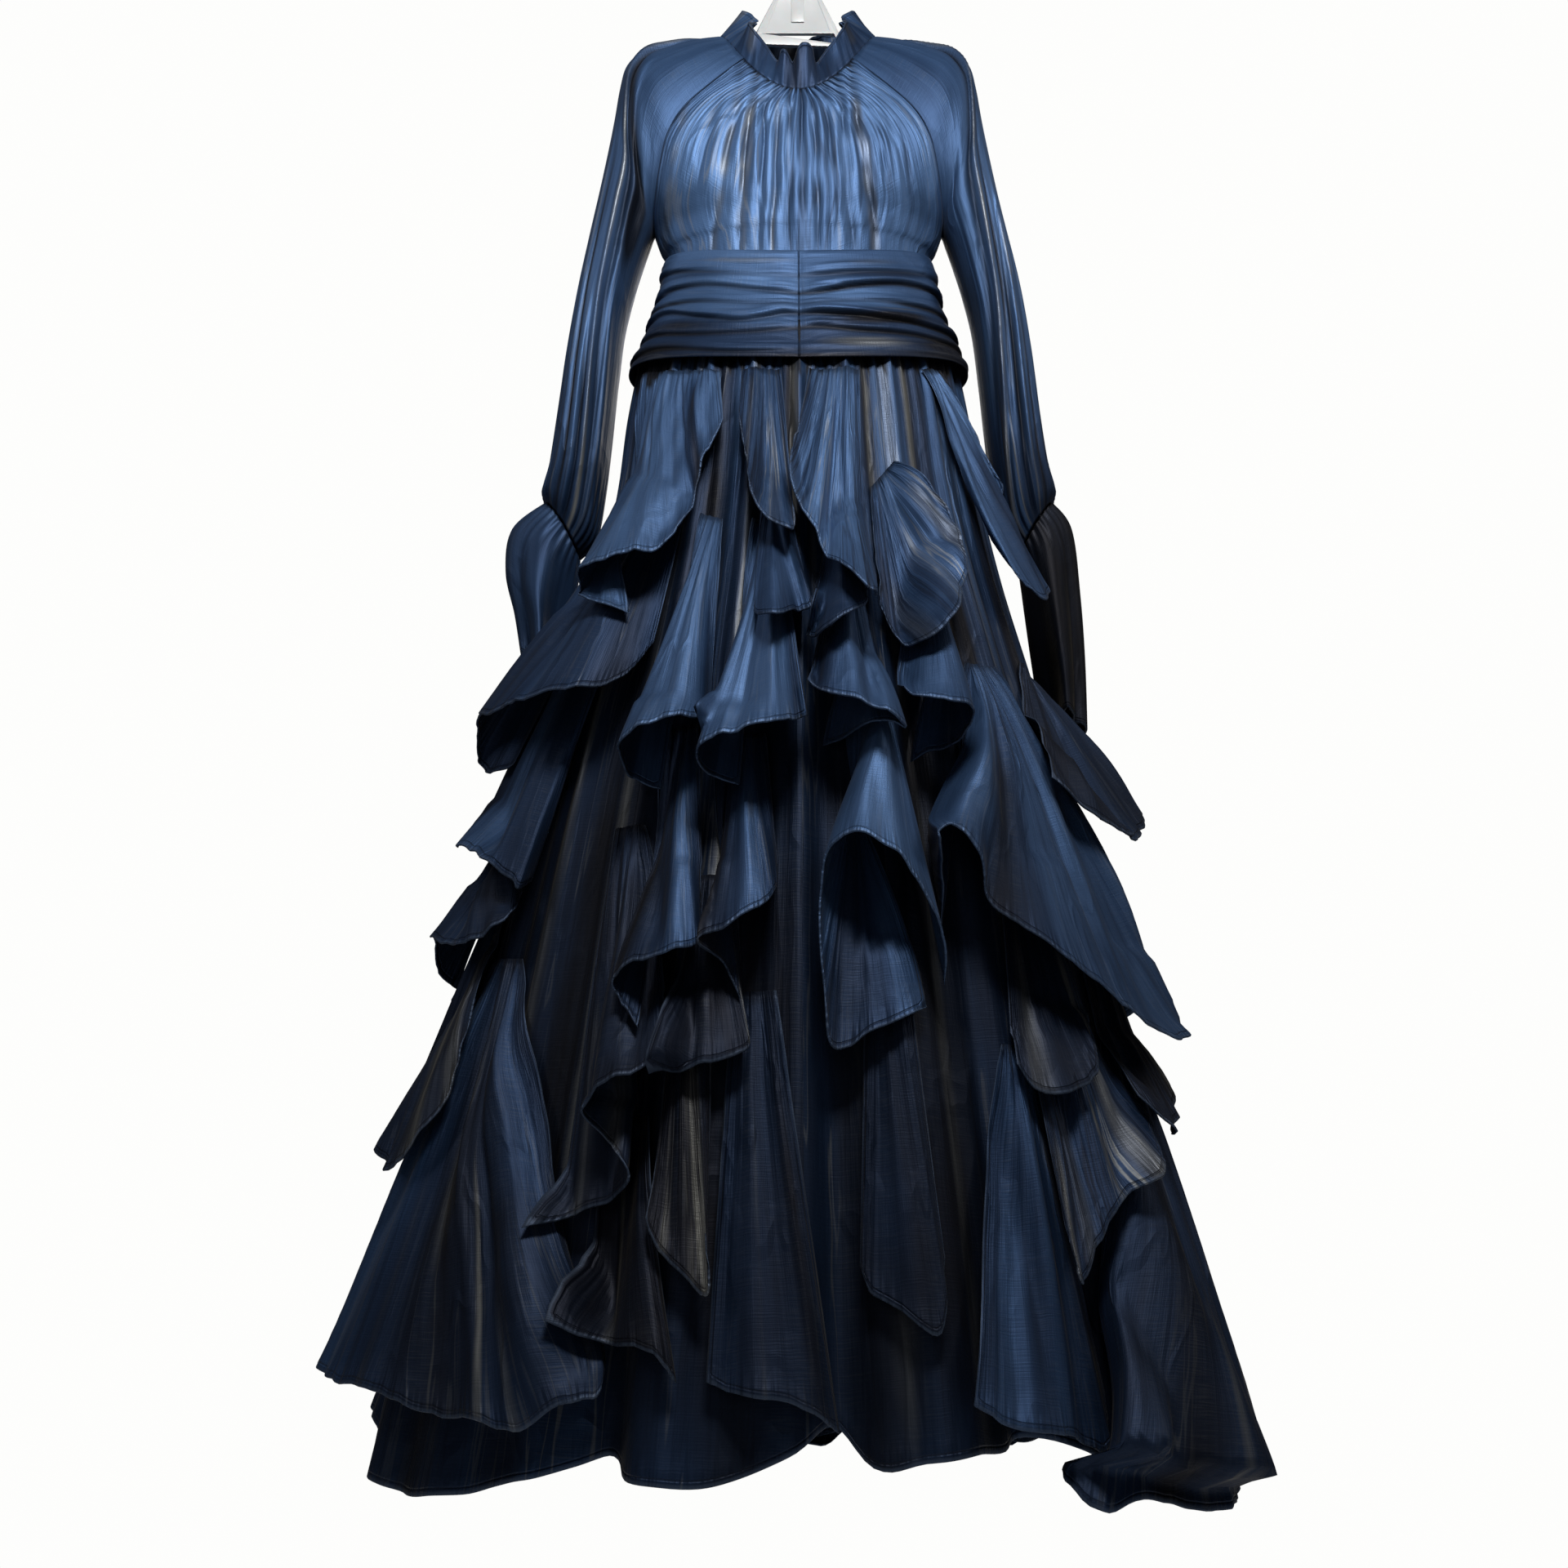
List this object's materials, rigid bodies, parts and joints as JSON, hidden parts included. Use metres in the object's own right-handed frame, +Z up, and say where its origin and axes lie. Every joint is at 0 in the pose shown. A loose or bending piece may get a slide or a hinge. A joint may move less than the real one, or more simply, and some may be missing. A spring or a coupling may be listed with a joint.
{
  "type": "long dress on hanger",
  "caption": "Long-sleeved evening dress with a ruffled stand collar, gathered bodice, wide pleated sash and a full skirt covered in ruffled petals, on a plain hanger.",
  "frame": {"origin": "the seat of the hanger's hook: the inner top of its ring, where the rail holds it", "axes": "+Z up along the dress, its longest extent; -Y is the dress's front; +X is to the viewer's right when its front is seen"},
  "size_m": [0.8504, 0.6647, 1.7538],
  "materials": {
    "navy_satin": "shot satin, blue with a warm bronze shine along its folds",
    "skirt_satin": "the same satin in the shade under the ruffles",
    "hanger_plastic": "white moulded plastic, softly glossy",
    "hook_steel": "bright steel wire"
  },
  "bodies": {
    "root": {"bodice_back": "navy_satin", "bodice_front": "navy_satin", "collar": "navy_satin", "cuff_left": "navy_satin", "cuff_right": "navy_satin", "flounce_back_hem_1": "navy_satin", "flounce_back_hem_2": "navy_satin", "flounce_back_hem_3": "navy_satin", "flounce_back_hip_1": "navy_satin", "flounce_back_hip_2": "navy_satin", "flounce_back_low_1": "navy_satin", "flounce_back_low_2": "navy_satin", "flounce_back_mid_1": "navy_satin", "flounce_back_mid_2": "navy_satin", "flounce_back_mid_3": "navy_satin", "flounce_back_waist_1": "navy_satin", "flounce_back_waist_2": "navy_satin", "flounce_fall_1": "navy_satin", "flounce_fall_2": "navy_satin", "flounce_fall_3": "navy_satin", "flounce_fall_4": "navy_satin", "flounce_fall_5": "navy_satin", "flounce_hem_1": "navy_satin", "flounce_hem_2": "navy_satin", "flounce_hem_3": "navy_satin", "flounce_hem_4": "navy_satin", "flounce_hem_5": "navy_satin", "flounce_hip_1": "navy_satin", "flounce_hip_2": "navy_satin", "flounce_hip_3": "navy_satin", "flounce_hip_4": "navy_satin", "flounce_hip_5": "navy_satin", "flounce_low_1": "navy_satin", "flounce_low_2": "navy_satin", "flounce_low_3": "navy_satin", "flounce_low_4": "navy_satin", "flounce_low_5": "navy_satin", "flounce_low_6": "navy_satin", "flounce_mid_1": "navy_satin", "flounce_mid_2": "navy_satin", "flounce_mid_3": "navy_satin", "flounce_mid_4": "navy_satin", "flounce_waist_1": "navy_satin", "flounce_waist_2": "navy_satin", "flounce_waist_3": "navy_satin", "flounce_waist_4": "navy_satin", "flounce_waist_5": "navy_satin", "flounce_waist_6": "navy_satin", "flounce_waist_7": "navy_satin", "hanger": "hanger_plastic", "hook": "hook_steel", "sash": "navy_satin", "skirt": "skirt_satin", "sleeve_left": "navy_satin", "sleeve_right": "navy_satin"}
  },
  "joints": []
}
